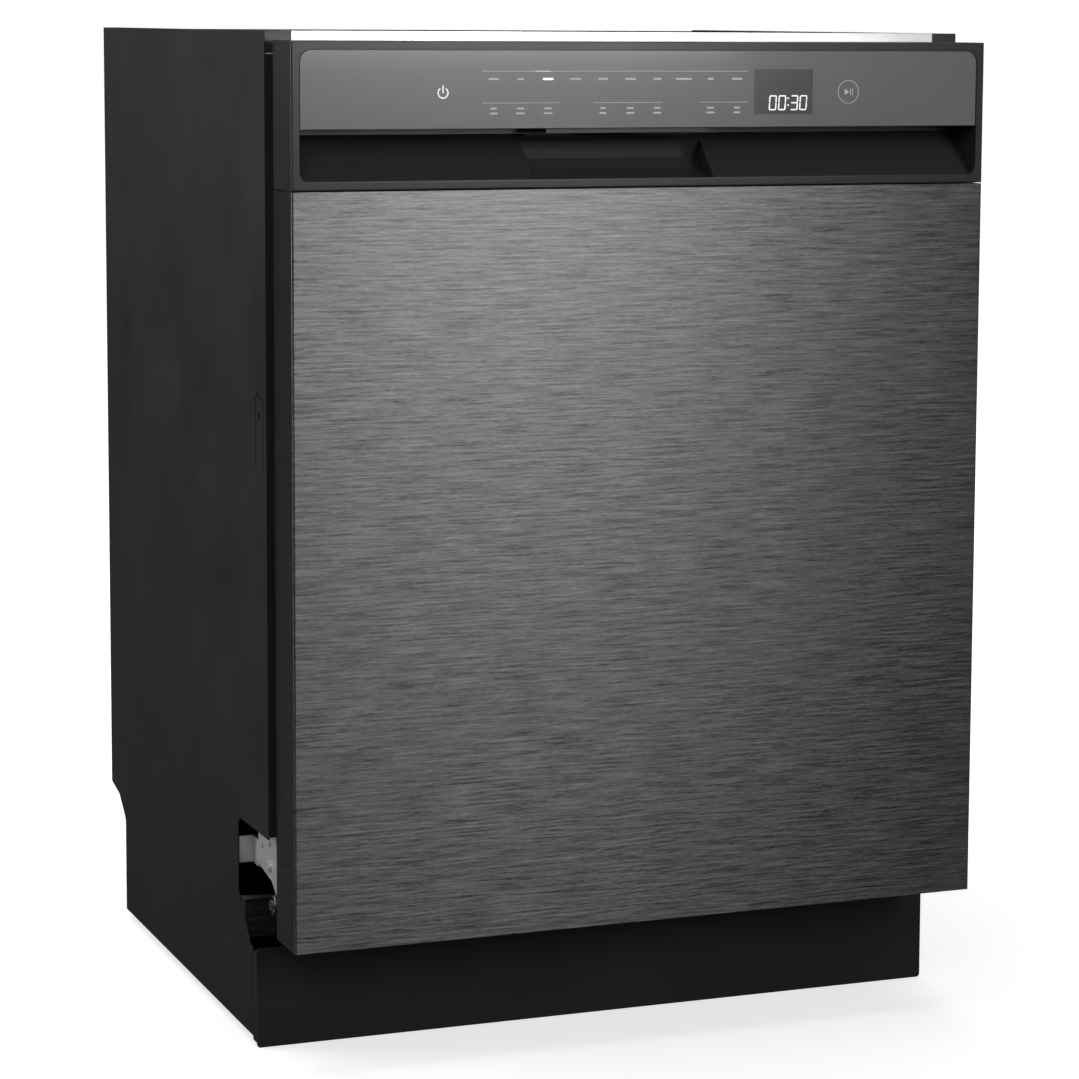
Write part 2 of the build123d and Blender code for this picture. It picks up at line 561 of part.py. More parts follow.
LINER_HALF, LINER_FACE, PAN_FACE = 292, 51.2, 57.2
PAN_HALF, PAN_LOW, PAN_HIGH = 250, 172, 786
DISPENSER_X, DISPENSER_Z = (-125, 90), (395, 495)
with BuildPart() as door_inner_liner:
    slab((-PAN_HALF, PAN_HALF), (LINER_FACE - 1, PAN_FACE), (PAN_LOW, PAN_HIGH))
    fillet(door_inner_liner.edges().filter_by(Axis.Y), 24)
    fillet(door_inner_liner.faces().sort_by(Axis.Y)[-1].edges(), 3)
    slab((-LINER_HALF, LINER_HALF), (LINER_FACE - 1, LINER_FACE), (108, 809))
    slab((-PAN_HALF + 4, PAN_HALF - 4), (LINER_FACE - 2, PAN_FACE - 1), (PAN_LOW + 4, PAN_HIGH - 4),
         Mode.SUBTRACT)
    both_slabs((266, LINER_HALF + 1), (LINER_FACE - 2, LINER_FACE + 1), (100, 156), Mode.SUBTRACT)
    slab((DISPENSER_X[0] - 0.2, DISPENSER_X[1] + 0.2), (LINER_FACE - 2, PAN_FACE + 1),
         (DISPENSER_Z[0] - 0.2, DISPENSER_Z[1] + 0.2), Mode.SUBTRACT)
    slab((-15, 15), (LINER_FACE - 2, LINER_FACE + 1), (787, 803), Mode.SUBTRACT)
finish(door_inner_liner, "door_inner_liner")

with BuildPart() as door_sound_pad:
    slab((-270, 270), (1.2, 14), (180, 680))
finish(door_sound_pad, "door_sound_pad")

with BuildPart() as control_board:
    slab((-190, 190), (12, 13.6), (752, 796))
    for chip_x in range(-160, 161, 40):
        slab((chip_x, chip_x + 14), (8, 12), (762, 776))
finish(control_board, "control_board")

with BuildPart() as latch_housing:
    slab((-22, 22), (22, 50), (770, 807))
    slab((-17, 17), (24, 51), (772, 805), Mode.SUBTRACT)
finish(latch_housing, "latch_housing")

with BuildPart() as latch_claw:
    with BuildSketch(side_on(-3)):
        with BuildLine():
            hook = [(24, 776), (33, 774), (44, 784), (44, 789), (40, 789), (34, 784), (26, 783)]
            Polyline(*[(y_at(depth), z) for depth, z in hook], close=True)
        make_face()
    extrude(amount=6)
finish(latch_claw, "latch_claw")

LID_LEFT, LID_RIGHT, LID_LOW, LID_HIGH, LID_SLIDE = -43, 33, 402, 488, 72
CAP_X, CAP_Z, CAP_R = 63, 445, 16
with BuildPart() as dispenser_body:
    slab(DISPENSER_X, (22, PAN_FACE - 0.4), DISPENSER_Z)
    slab((LID_LEFT - LID_SLIDE - 2, LID_RIGHT + 0.5), (54.2, PAN_FACE), (LID_LOW - 0.5, LID_HIGH + 0.5),
         Mode.SUBTRACT)
    slab((LID_LEFT + 6, LID_RIGHT - 6), (30, 55), (LID_LOW + 6, LID_HIGH - 6), Mode.SUBTRACT)
    add(rod((CAP_X, y_at(51), CAP_Z), (CAP_X, y_at(58), CAP_Z), CAP_R + 0.4), mode=Mode.SUBTRACT)
finish(dispenser_body, "dispenser_body")

with BuildPart() as dispenser_lid:
    slab((LID_LEFT, LID_RIGHT), (54.6, 56.2), (LID_LOW, LID_HIGH))
    slab((LID_LEFT + 6, LID_LEFT + 12), (56.2, 57), (LID_LOW + 10, LID_HIGH - 10))
    slab((LID_RIGHT - 12, LID_RIGHT - 6), (56.2, 57), (LID_LOW + 10, LID_HIGH - 10))
finish(dispenser_lid, "dispenser_lid")

with BuildPart() as rinse_aid_cap:
    add(rod((CAP_X, y_at(51.4), CAP_Z), (CAP_X, y_at(55.4), CAP_Z), CAP_R))
    slab((CAP_X - 12, CAP_X + 12), (55.4, 58), (CAP_Z - 2.5, CAP_Z + 2.5))
finish(rinse_aid_cap, "rinse_aid_cap")

with BuildPart() as right_arm:
    with BuildSketch(side_on(279)):
        with BuildLine():
            arm_side = [(14, 114), (48, 114), (62, 116), (62, 136), (46, 140), (46, 240), (14, 240)]
            Polyline(*[(y_at(depth), z) for depth, z in arm_side], close=True)
        make_face()
        with Locations((y_at(HINGE_DEPTH), HINGE_Z)):
            Circle(10)
            Circle(PIN_R + RUNNING, mode=Mode.SUBTRACT)
    extrude(amount=2.5)
    slab((279, 293), (14, 16.5), (116, 238))
with BuildPart() as hinge_arms:
    add(right_arm.part)
    add(right_arm.part.mirror(Plane.YZ))
finish(hinge_arms, "hinge_arms")

with BuildPart() as door_lower_seal:
    slab((-256, 256), (LINER_FACE, 58.6), (158, 165))
    fillet(door_lower_seal.edges().filter_by(Axis.X), 1.5)
finish(door_lower_seal, "door_lower_seal")


# ---------------------------------------------------------------- racks
def spaced(low, high, count):
    """Evenly spaced places from low to high."""
    return [low + i * (high - low) / (count - 1) for i in range(count)]


def grid_panel(rods):
    """One flat welded panel of a basket, from its straight rods."""
    with BuildPart() as panel:
        add([rod(start, end, WIRE) for start, end in rods])
    return panel.part


def basket(half, depth, z, height, rows, column_x, extra=()):
    """Five welded wire panels: bottom, front, back and two sides, butted edge to edge.

    half is the half width, depth the front and back depth, z the height of the bottom's cross
    wires, rows their number and column_x the places of the lengthwise wires. extra is a list of
    more rods for the left side. Returns the five panels.
    """
    front, back, top = y_at(depth[0]), y_at(depth[1]), z + height
    row_y = spaced(front + EDGE_GAP, back - EDGE_GAP, rows)
    levels = (z + 0.25 * height, z + 0.97 * height)
    bottom = [((-half, y, z), (half, y, z)) for y in row_y]
    bottom += [((x, front - WIRE, z + WELD), (x, back + WIRE, z + WELD)) for x in column_x]
    panels = [bottom]
    for y, out in ((front, -WELD), (back, WELD)):
        ends = [((x, y, z + WELD + WIRE), (x, y, top)) for x in column_x]
        reach = half + WELD + WIRE
        ends += [((-reach, y + out, level), (reach, y + out, level)) for level in levels]
        panels.append(ends)
    for s in (-1, 1):
        side = [((s * half, y, z + WIRE), (s * half, y, top)) for y in row_y]
        x = s * (half + WELD)
        side += [((x, front - WELD + WIRE, level), (x, back + WELD - WIRE, level)) for level in levels]
        panels.append(side + (list(extra) if s < 0 else []))
    return [grid_panel(rods) for rods in panels]


def tines(xs, z, height):
    """Upright plate prongs, each standing on one of the lengthwise wires."""
    return [rod((x, y_at(depth), z + WELD + WIRE), (x, y_at(depth), z + height), 1.5)
            for x in xs for depth in range(140, 500, 30)]


EDGE_GAP, SIDE_GAP = 22, 36  # from a basket's walls to its first cross and lengthwise wires
LOWER_DEPTH, LOWER_HALF, LOWER_HIGH, LOWER_COLUMNS = (84, 548), 244, 118, 12
AXLES = {"lower_rack_front_wheels": 132, "lower_rack_rear_wheels": 500}
WHEEL_Z = TUB_FLOOR + WHEEL_R + 0.5

lower_x = spaced(SIDE_GAP - LOWER_HALF, LOWER_HALF - SIDE_GAP, LOWER_COLUMNS)
lower_solids = basket(LOWER_HALF, LOWER_DEPTH, LOWER_RACK_Z, LOWER_HIGH, 12, lower_x)
lower_solids += tines((lower_x[1], lower_x[4], lower_x[6]), LOWER_RACK_Z, 74)
for axle in AXLES.values():
    for s in (-1, 1):
        with BuildPart() as axle_bracket:
            slab(sorted((s * 237, s * 244)), (axle - 14, axle + 14), (WHEEL_Z - 8, LOWER_RACK_Z - WIRE))
            add(rod((s * 243, y_at(axle), WHEEL_Z), (s * 261.4, y_at(axle), WHEEL_Z), AXLE_R))
        lower_solids.append(axle_bracket.part)
with BuildPart() as lower_rack:
    add(lower_solids)
finish(lower_rack, "lower_rack")

for wheel_name, axle in AXLES.items():
    with BuildPart() as wheels:
        for s in (-1, 1):
            add(rod((s * 248, y_at(axle), WHEEL_Z), (s * 260, y_at(axle), WHEEL_Z), WHEEL_R))
            add(rod((s * 258, y_at(axle), WHEEL_Z), (s * 261, y_at(axle), WHEEL_Z), WHEEL_R - 5),
                mode=Mode.SUBTRACT)
            add(rod((s * 246, y_at(axle), WHEEL_Z), (s * 262, y_at(axle), WHEEL_Z), AXLE_R + 0.06),
                mode=Mode.SUBTRACT)
    finish(wheels, wheel_name)


def rack_handle(rim, z):
    """A moulded grip in front of a basket's rim, whose front is at that depth and height."""
    with BuildPart() as grip:
        slab((-70, 70), (rim - 11, rim), (z - 18, z + 10))
        fillet(grip.edges().filter_by(Axis.Y), 9)
        slab((-50, 50), (rim - 8, rim), (z - 10, z - 1), Mode.SUBTRACT)
    return grip.part


with BuildPart() as lower_rack_handle:
    add(rack_handle(LOWER_DEPTH[0] - WELD - WIRE, LOWER_RACK_Z + LOWER_HIGH))
finish(lower_rack_handle, "lower_rack_handle")

BASKET_X, BASKET_DEPTH = (108, 226), (110, 400)
BASKET_LOW, BASKET_HIGH = LOWER_RACK_Z + 6, LOWER_RACK_Z + 112
with BuildPart() as cutlery_basket:
    slab(BASKET_X, BASKET_DEPTH, (BASKET_LOW, BASKET_HIGH))
    for i in range(2):
        for j in range(4):
            cell_x = BASKET_X[0] + 2 + i * 58
            cell_depth = BASKET_DEPTH[0] + 2 + j * 72
            slab((cell_x, cell_x + 56), (cell_depth, cell_depth + 70), (BASKET_LOW + 2, BASKET_HIGH + 1),
                 Mode.SUBTRACT)
    with BuildSketch(side_on(BASKET_X[0] - 1)):
        with Locations((y_at((BASKET_DEPTH[0] + BASKET_DEPTH[1]) / 2), (BASKET_LOW + BASKET_HIGH) / 2)):
            with GridLocations(24, 22, 12, 4):
                Rectangle(15, 15)
    extrude(amount=BASKET_X[1] - BASKET_X[0] + 2, mode=Mode.SUBTRACT)
finish(cutlery_basket, "cutlery_basket")

UPPER_DEPTH, UPPER_HALF, UPPER_HIGH, UPPER_ROWS = (84, 528), 229, 122, 12
upper_x = spaced(SIDE_GAP - UPPER_HALF, UPPER_HALF - SIDE_GAP, 11)
cup_wire = ((CUP_X, y_at(107), CUP_Z), (CUP_X, y_at(505), CUP_Z))
upper_solids = basket(UPPER_HALF, UPPER_DEPTH, UPPER_RACK_Z, UPPER_HIGH, UPPER_ROWS, upper_x, [cup_wire])
upper_solids += tines((upper_x[8], upper_x[10]), UPPER_RACK_Z, 62)
with BuildPart() as upper_rack:
    add(upper_solids)
finish(upper_rack, "upper_rack")

with BuildPart() as upper_rack_runners:
    both_slabs((238, 257.9), (84, 520), (RAIL_Z - 11, RAIL_Z + 11))
    both_slabs((242, 258), (83, 521), (RAIL_Z - 7, RAIL_Z + 7), Mode.SUBTRACT)
    for clip_depth in (106, 288, 470):
        both_slabs((UPPER_HALF + WIRE, 238), (clip_depth - 10, clip_depth + 10), (RAIL_Z - 9, RAIL_Z + 9))
finish(upper_rack_runners, "upper_rack_runners")

with BuildPart() as upper_rack_handle:
    add(rack_handle(UPPER_DEPTH[0] - WELD - WIRE, UPPER_RACK_Z + UPPER_HIGH))
finish(upper_rack_handle, "upper_rack_handle")

with BuildPart() as upper_feed_tube:
    slab((-11, 11), (HUB_DEPTH - 14, 552), (458, 468))
    fillet(upper_feed_tube.edges().filter_by(Axis.Y), 3)
    with Locations((0, y_at(HUB_DEPTH), 436)):
        Cylinder(10, 24, align=(Align.CENTER, Align.CENTER, Align.MIN))
    with Locations((0, y_at(HUB_DEPTH), 434)):
        Cylinder(15, 4, align=(Align.CENTER, Align.CENTER, Align.MIN))
finish(upper_feed_tube, "upper_feed_tube")

ROW_GAP = (UPPER_DEPTH[1] - UPPER_DEPTH[0] - 2 * EDGE_GAP) / (UPPER_ROWS - 1)
SHELF_ROWS = (3, 6, 8)
with BuildPart() as cup_shelf:
    slab((CUP_X + 4, CUP_X + 92), (205, 435), (CUP_Z - 1.5, CUP_Z + 1.5))
    with BuildSketch(Plane.XY.offset(CUP_Z - 5)):
        with Locations((CUP_X + 50, y_at(320))):
            with GridLocations(26, 22, 3, 10):
                RectangleRounded(20, 16, 3)
    extrude(amount=10, mode=Mode.SUBTRACT)
    for row in SHELF_ROWS:
        middle = UPPER_DEPTH[0] + EDGE_GAP + (row + 0.5) * ROW_GAP
        add(rod((CUP_X, y_at(middle - 11), CUP_Z), (CUP_X, y_at(middle + 11), CUP_Z), 4.3))
    add(rod((CUP_X, y_at(100), CUP_Z), (CUP_X, y_at(520), CUP_Z), WIRE + 0.06), mode=Mode.SUBTRACT)
finish(cup_shelf, "cup_shelf")
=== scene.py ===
"""Looks for the built-under dishwasher: materials, console print, small trim, light and camera."""

import json
import math

import bpy
from mathutils import Matrix, Vector


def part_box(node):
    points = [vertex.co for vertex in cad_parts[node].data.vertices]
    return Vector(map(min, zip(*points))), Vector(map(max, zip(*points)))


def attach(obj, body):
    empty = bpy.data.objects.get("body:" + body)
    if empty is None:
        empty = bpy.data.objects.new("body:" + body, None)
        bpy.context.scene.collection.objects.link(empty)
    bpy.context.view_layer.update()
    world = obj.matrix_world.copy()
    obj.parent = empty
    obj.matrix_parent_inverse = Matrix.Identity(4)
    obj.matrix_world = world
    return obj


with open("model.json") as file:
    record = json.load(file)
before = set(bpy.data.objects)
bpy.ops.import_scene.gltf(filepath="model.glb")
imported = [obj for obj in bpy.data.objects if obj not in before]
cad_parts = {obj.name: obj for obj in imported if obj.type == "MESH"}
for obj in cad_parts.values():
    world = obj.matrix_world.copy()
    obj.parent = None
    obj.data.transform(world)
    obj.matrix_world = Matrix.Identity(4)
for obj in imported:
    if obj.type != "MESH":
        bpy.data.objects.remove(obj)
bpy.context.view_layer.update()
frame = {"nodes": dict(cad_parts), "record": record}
nodes = frame["nodes"]
MM = 0.001
PLAIN = (1, 1, 1)  # a noise field that isn't stretched
FIELD_LOW, FIELD_HIGH = 0.3, 0.7  # most values of a noise field lie between these


# ---------------------------------------------------------------- node helpers
def new_material(name):
    """An empty node material and its Principled shader."""
    made = bpy.data.materials.new(name)
    made.use_nodes = True
    shader = made.node_tree.nodes["Principled BSDF"]
    return made, made.node_tree, shader


def noise(tree, stretch, scale, detail=4.0, roughness=0.55, seed=0.0):
    """A noise field over object space, stretched by a factor along each axis."""
    place = tree.nodes.new("ShaderNodeTexCoord")
    mapping = tree.nodes.new("ShaderNodeMapping")
    mapping.inputs["Scale"].default_value = stretch
    mapping.inputs["Location"].default_value = (seed, seed * 1.7, seed * 0.6)
    field = tree.nodes.new("ShaderNodeTexNoise")
    field.inputs["Scale"].default_value = scale
    field.inputs["Detail"].default_value = detail
    field.inputs["Roughness"].default_value = roughness
    tree.links.new(place.outputs["Object"], mapping.inputs["Vector"])
    tree.links.new(mapping.outputs["Vector"], field.inputs["Vector"])
    return field.outputs["Fac"]


def spread(tree, source, low, high, start=FIELD_LOW, end=FIELD_HIGH):
    """Map a field from start to end onto values from low to high."""
    ranged = tree.nodes.new("ShaderNodeMapRange")
    ranged.inputs["From Min"].default_value = start
    ranged.inputs["From Max"].default_value = end
    ranged.inputs["To Min"].default_value = low
    ranged.inputs["To Max"].default_value = high
    tree.links.new(source, ranged.inputs["Value"])
    return ranged.outputs["Result"]


def shade(tree, source, colour, depth):
    """A colour that varies by a share, depth, each way with a field."""
    ramp = tree.nodes.new("ShaderNodeValToRGB")
    ramp.color_ramp.elements[0].position = FIELD_LOW
    ramp.color_ramp.elements[1].position = FIELD_HIGH
    ramp.color_ramp.elements[0].color = (*[c * (1 - depth) for c in colour], 1)
    ramp.color_ramp.elements[1].color = (*[c * (1 + depth) for c in colour], 1)
    tree.links.new(source, ramp.inputs["Fac"])
    return ramp.outputs["Color"]


def bump(tree, shader, source, strength, height=0.2 * MM):
    """Add relief from a field."""
    relief = tree.nodes.new("ShaderNodeBump")
    relief.inputs["Strength"].default_value = strength
    relief.inputs["Distance"].default_value = height
    tree.links.new(source, relief.inputs["Height"])
    tree.links.new(relief.outputs["Normal"], shader.inputs["Normal"])


def surface(name, colour, rough, grain, metallic=0.0, mottle=0.08, specular=0.5, coat=0.0,
            rough_swing=0.05):
    """A moulded, painted or plated finish: colour mottling, uneven roughness and a fine grain.

    grain holds the scale and the strength of the relief.
    """
    grain_scale, grain_strength = grain
    made, tree, shader = new_material(name)
    shader.inputs["Metallic"].default_value = metallic
    shader.inputs["Specular IOR Level"].default_value = specular
    shader.inputs["Coat Weight"].default_value = coat
    shader.inputs["Coat Roughness"].default_value = 0.06
    broad = noise(tree, PLAIN, 9.0, seed=3.1)
    fine = noise(tree, PLAIN, grain_scale, detail=3.0, seed=1.3)
    tree.links.new(shade(tree, broad, colour, mottle), shader.inputs["Base Color"])
    tree.links.new(spread(tree, broad, rough - rough_swing, rough + rough_swing),
                   shader.inputs["Roughness"])
    bump(tree, shader, fine, grain_strength)
    return made


def drawn_out(along, share):
    """A stretch that draws noise out along X or Z; the smaller the share, the longer."""
    return (share, 1, 1) if along == "X" else (1, 1, share)


def brushed(name, colour, rough, along, contrast, relief, fineness=1.0, pull=0.75):
    """Brushed sheet: long thin streaks along X or Z, and highlights pulled out across them."""
    rough_swing = 0.06
    quarter_turn = 0.25
    made, tree, shader = new_material(name)
    shader.inputs["Metallic"].default_value = 1.0
    shader.inputs["Anisotropic"].default_value = pull
    shader.inputs["Anisotropic Rotation"].default_value = quarter_turn if along == "X" else 0.0
    long_streaks = noise(tree, drawn_out(along, 0.04), 560 * fineness, detail=2.5, roughness=0.6)
    short_streaks = noise(tree, drawn_out(along, 0.12), 1500 * fineness, detail=2.0, seed=4.0)
    blend = tree.nodes.new("ShaderNodeMix")
    blend.inputs["Factor"].default_value = 0.35
    tree.links.new(long_streaks, blend.inputs["A"])
    tree.links.new(short_streaks, blend.inputs["B"])
    streaks = blend.outputs["Result"]
    tree.links.new(shade(tree, streaks, colour, contrast), shader.inputs["Base Color"])
    tree.links.new(spread(tree, streaks, rough - rough_swing, rough + rough_swing),
                   shader.inputs["Roughness"])
    direction = tree.nodes.new("ShaderNodeTangent")
    direction.direction_type = "RADIAL"
    direction.axis = "Z"
    tree.links.new(direction.outputs["Tangent"], shader.inputs["Tangent"])
    bump(tree, shader, streaks, relief, height=0.12 * MM)
    return made


def glowing(name, colour, strength):
    """A printed or lit mark with a slight unevenness in its ink; on lit marks the glow stands for
    their lamps, on printed marks it is a painted glow.
    """
    made, tree, shader = new_material(name)
    ink = noise(tree, PLAIN, 700.0, seed=2.2)
    tree.links.new(shade(tree, ink, colour, 0.06), shader.inputs["Base Color"])
    shader.inputs["Roughness"].default_value = 0.45
    shader.inputs["Emission Color"].default_value = (*colour, 1)
    shader.inputs["Emission Strength"].default_value = strength
    return made


# ---------------------------------------------------------------- materials of the CAD nodes
FINISH = {  # one finish for each material slot of the record
    "painted_black_steel": surface("black_paint", (0.029, 0.029, 0.0295), 0.42, (700, 0.10),
                                   mottle=0.05, specular=0.35),
    "brushed_dark_steel": brushed("brushed_dark_steel", (0.178, 0.178, 0.179), 0.365, "X",
                                  contrast=0.62, relief=0.55),
    "tub_steel": brushed("tub_steel", (0.66, 0.67, 0.68), 0.30, "Z", contrast=0.10, relief=0.12,
                         fineness=0.8, pull=0.0),
    "galvanised_steel": surface("galvanised", (0.78, 0.79, 0.80), 0.30, (140, 0.12),
                                metallic=1.0, mottle=0.10),
    "zinc_steel": surface("zinc_plate", (0.78, 0.79, 0.80), 0.34, (420, 0.16),
                          metallic=0.45, mottle=0.10),
    "pin_steel": surface("pin_steel", (0.42, 0.42, 0.43), 0.28, (500, 0.12),
                         metallic=1.0, mottle=0.10),
    "spring_steel": surface("spring_wire", (0.16, 0.16, 0.17), 0.36, (600, 0.15),
                            metallic=1.0, mottle=0.15),
    "black_plastic": surface("gloss_black", (0.048, 0.048, 0.049), 0.24, (260, 0.03),
                             mottle=0.04, specular=0.45, rough_swing=0.03),
    "matte_black_plastic": surface("grained_black", (0.022, 0.022, 0.023), 0.55, (900, 0.35)),
    "console_grey_glass": surface("console_grey", (0.240, 0.244, 0.252), 0.22, (120, 0.02),
                                  mottle=0.03, coat=0.4, rough_swing=0.03),
    "display_smoke": surface("display_smoke", (0.150, 0.152, 0.156), 0.16, (200, 0.02),
                             mottle=0.05, coat=0.6, rough_swing=0.02),
    "grey_plastic": surface("grey_polypropylene", (0.30, 0.31, 0.32), 0.48, (800, 0.25)),
    "white_plastic": surface("white_polypropylene", (0.70, 0.71, 0.72), 0.42, (800, 0.2)),
    "base_plastic": surface("base_black", (0.020, 0.020, 0.021), 0.6, (700, 0.4)),
    "seal_rubber": surface("seal_rubber", (0.012, 0.012, 0.012), 0.7, (1200, 0.4), specular=0.3),
    "sound_pad": surface("bitumen_felt", (0.03, 0.03, 0.03), 0.85, (500, 0.8), mottle=0.3),
    "circuit_board": surface("circuit_board", (0.02, 0.10, 0.045), 0.4, (300, 0.3), mottle=0.2),
    "rack_wire": surface("nylon_wire", (0.36, 0.37, 0.39), 0.38, (900, 0.12)),
    "brass_thread": surface("brass", (0.60, 0.44, 0.20), 0.3, (500, 0.2),
                            metallic=1.0, mottle=0.1),
}
SLOT_OF = {entry["node"]: entry["material_slot"] for entry in frame["record"]["subparts"]}
for node_name, node in nodes.items():
    node.data.materials.clear()
    node.data.materials.append(FINISH[SLOT_OF[node_name]])

SHARP = math.radians(40)  # edges sharper than this are rounded
SOFT_EDGES = {  # width of the rounding in mm
    "control_fascia": 0.5, "handle_pocket": 0.8, "console_glass": 0.25, "kick_plate": 0.35,
    "left_side_panel": 0.3, "right_side_panel": 0.3, "top_corner_blocks": 0.6,
    "latch_release_lever": 0.5, "dispenser_body": 0.4, "dispenser_lid": 0.3, "hinge_brackets": 0.3,
    "lower_front_brace": 0.3, "upper_rack_runners": 0.6, "base_tray": 0.8, "top_front_rail": 0.2,
}
for node_name, width in SOFT_EDGES.items():
    rounding = nodes[node_name].modifiers.new("soft_edges", "BEVEL")
    rounding.width = width * MM
    rounding.segments = 2
    rounding.limit_method = "ANGLE"
    rounding.angle_limit = SHARP
    rounding.harden_normals = True


# ---------------------------------------------------------------- added pieces
def add_piece(name, corners, faces, slot, body, material=None, smooth=False):
    """One piece from its corners and faces; without a material it has its slot's finish."""
    mesh = bpy.data.meshes.new(name)
    mesh.from_pydata(corners, [], faces)
    mesh.polygons.foreach_set("use_smooth", [smooth] * len(mesh.polygons))
    mesh.materials.append(material or FINISH[slot])
    piece = bpy.data.objects.new(name, mesh)
    bpy.context.scene.collection.objects.link(piece)
    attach(piece, body)


def wall_of_rings(start, levels, around):
    """The faces between rings of corners that follow one another upwards."""
    faces = []
    for level in range(levels - 1):
        for i in range(around):
            a = start + level * around + i
            b = start + level * around + (i + 1) % around
            faces.append((a, b, b + around, a + around))
    return faces


# ---------------------------------------------------------------- thin marks on the console
PRINT = 0.15 * MM  # thickness of a printed mark
CONSOLE_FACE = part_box("console_glass")[0].y
DISPLAY_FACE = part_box("display_window")[0].y


def prism(outline, y_front, y_back):
    """Corners and faces of a flat shape given in x and z, with a little thickness."""
    count = len(outline)
    corners = [(x, y_front, z) for x, z in outline] + [(x, y_back, z) for x, z in outline]
    faces = [tuple(range(count)), tuple(reversed(range(count, 2 * count)))]
    faces += [(i, i + count, (i + 1) % count + count, (i + 1) % count) for i in range(count)]
    return corners, faces


def marks(name, outlines, material, face=CONSOLE_FACE):
    """One piece of the door made of many flat marks, standing on a face."""
    corners, faces = [], []
    for outline in outlines:
        more, shapes = prism(outline, face - PRINT, face)
        start = len(corners)
        corners += more
        faces += [tuple(i + start for i in shape) for shape in shapes]
    add_piece(name, corners, faces, "white_plastic", "door", material)


def rectangle(x0, x1, z0, z1):
    """The outline of an upright rectangle."""
    return [(x0, z0), (x1, z0), (x1, z1), (x0, z1)]


def bar(x, z, width, height, rounded=6):
    """A stadium-shaped bar centred at x, z."""
    radius = height / 2
    points = []
    for side, turn in ((1, -90), (-1, 90)):
        for i in range(rounded + 1):
            angle = math.radians(turn + 180 * i / rounded)
            points.append((x + side * (width / 2 - radius) + radius * math.cos(angle),
                           z + radius * math.sin(angle)))
    return points


def arc(x, z, radius, thickness, steps, start=0, end=360):
    """A band of quads along an arc in degrees, as separate flat shapes."""
    shapes = []
    for i in range(steps):
        corners = []
        for r, j in ((radius, i), (radius, i + 1), (radius - thickness, i + 1),
                     (radius - thickness, i)):
            angle = math.radians(start + (end - start) * j / steps)
            corners.append((x + r * math.cos(angle), z + r * math.sin(angle)))
        shapes.append(corners)
    return shapes


SEGMENTS = {  # two ends of each stroke, as shares of a digit's width and height
    "a": ((0, 1), (1, 1)), "b": ((1, 1), (1, 0.5)), "c": ((1, 0.5), (1, 0)), "d": ((1, 0), (0, 0)),
    "e": ((0, 0), (0, 0.5)), "f": ((0, 0.5), (0, 1)), "g": ((0, 0.5), (1, 0.5)),
}
DIGITS = {"0": "abcdef", "3": "abcdg", "8": "abcdefg"}


def digit(character, x, z, width, height, stroke):
    """The strokes of one seven-segment digit whose lower left corner is at x, z."""
    lean = 0.06  # sideways, as a share of the height
    gap = 0.55 * stroke  # left free at each end of a stroke
    shapes = []
    for segment in DIGITS[character]:
        (u0, v0), (u1, v1) = SEGMENTS[segment]
        start = Vector((x + u0 * width + lean * v0 * height, z + v0 * height))
        end = Vector((x + u1 * width + lean * v1 * height, z + v1 * height))
        along = (end - start).normalized()
        across = Vector((-along.y, along.x)) * stroke / 2
        start, end = start + along * gap, end - along * gap
        tip = along * stroke / 2
        shape = [start - tip, start - across, end - across, end + tip, end + across,
                 start + across]
        shapes.append([tuple(corner) for corner in shape])
    return shapes


# printed legend ink with a painted glow of strength 0.20, though the print itself is not lit
INK_WITH_PAINTED_GLOW = glowing("legend_ink_painted_glow", (0.66, 0.67, 0.68), 0.20)
BRIGHT = glowing("legend_lit", (0.95, 0.96, 0.97), 0.8)
GHOST = glowing("display_ghost", (0.105, 0.106, 0.110), 0.0)

LINE = 0.38 * MM  # thickness of a printed line
TALL = 1.5 * MM  # height of a bar that stands for a word


def slim(x0, x1, z):
    """A thin straight line of print."""
    return rectangle(x0 * MM, x1 * MM, z - LINE / 2, z + LINE / 2)


def print_legends():
    """Lines and rows of word-like bars over and under the touch keys."""
    top_line, low_line = 787.8 * MM, 763.3 * MM
    label_row, lower_row, second_row = 781.8 * MM, 759.0 * MM, 755.2 * MM
    programmes = ((-131.8, 8.6), (-109.6, 5.6), (-86.8, 9.0), (-63.8, 10.0), (-40.7, 8.6),
                  (-17.5, 9.6), (5.4, 7.0), (28.1, 14.0), (51.3, 5.0), (74.2, 9.0))
    options = ((-131.8, 6.4), (-109.6, 7.4), (-86.8, 7.4), (-40.7, 6.0), (-17.5, 7.0),
               (5.4, 6.8), (51.3, 7.4), (74.2, 6.0))
    lit_at, lit_width = programmes[2]
    lit_from, lit_to = -97.4, -84.7
    lines = [slim(-141, lit_from, top_line), slim(lit_to, 83.5, top_line)]
    lines += [slim(*ends, low_line) for ends in ((-141, -76.9), (-48.8, 9.0), (42.2, 83.6))]
    marks("legend_lines", lines, INK_WITH_PAINTED_GLOW)
    marks("legend_lit_line", [slim(lit_from, lit_to, top_line)], BRIGHT)
    marks("programme_bars", [bar(x * MM, label_row, width * MM, TALL)
                             for x, width in programmes if x != lit_at], INK_WITH_PAINTED_GLOW)
    marks("programme_bar_lit", [bar(lit_at * MM, label_row, lit_width * MM, TALL * 1.15)], BRIGHT)
    marks("option_bars", [bar(x * MM, z, width * share * MM, TALL * 0.9)
                          for x, width in options
                          for z, share in ((lower_row, 0.85), (second_row, 1.0))], INK_WITH_PAINTED_GLOW)


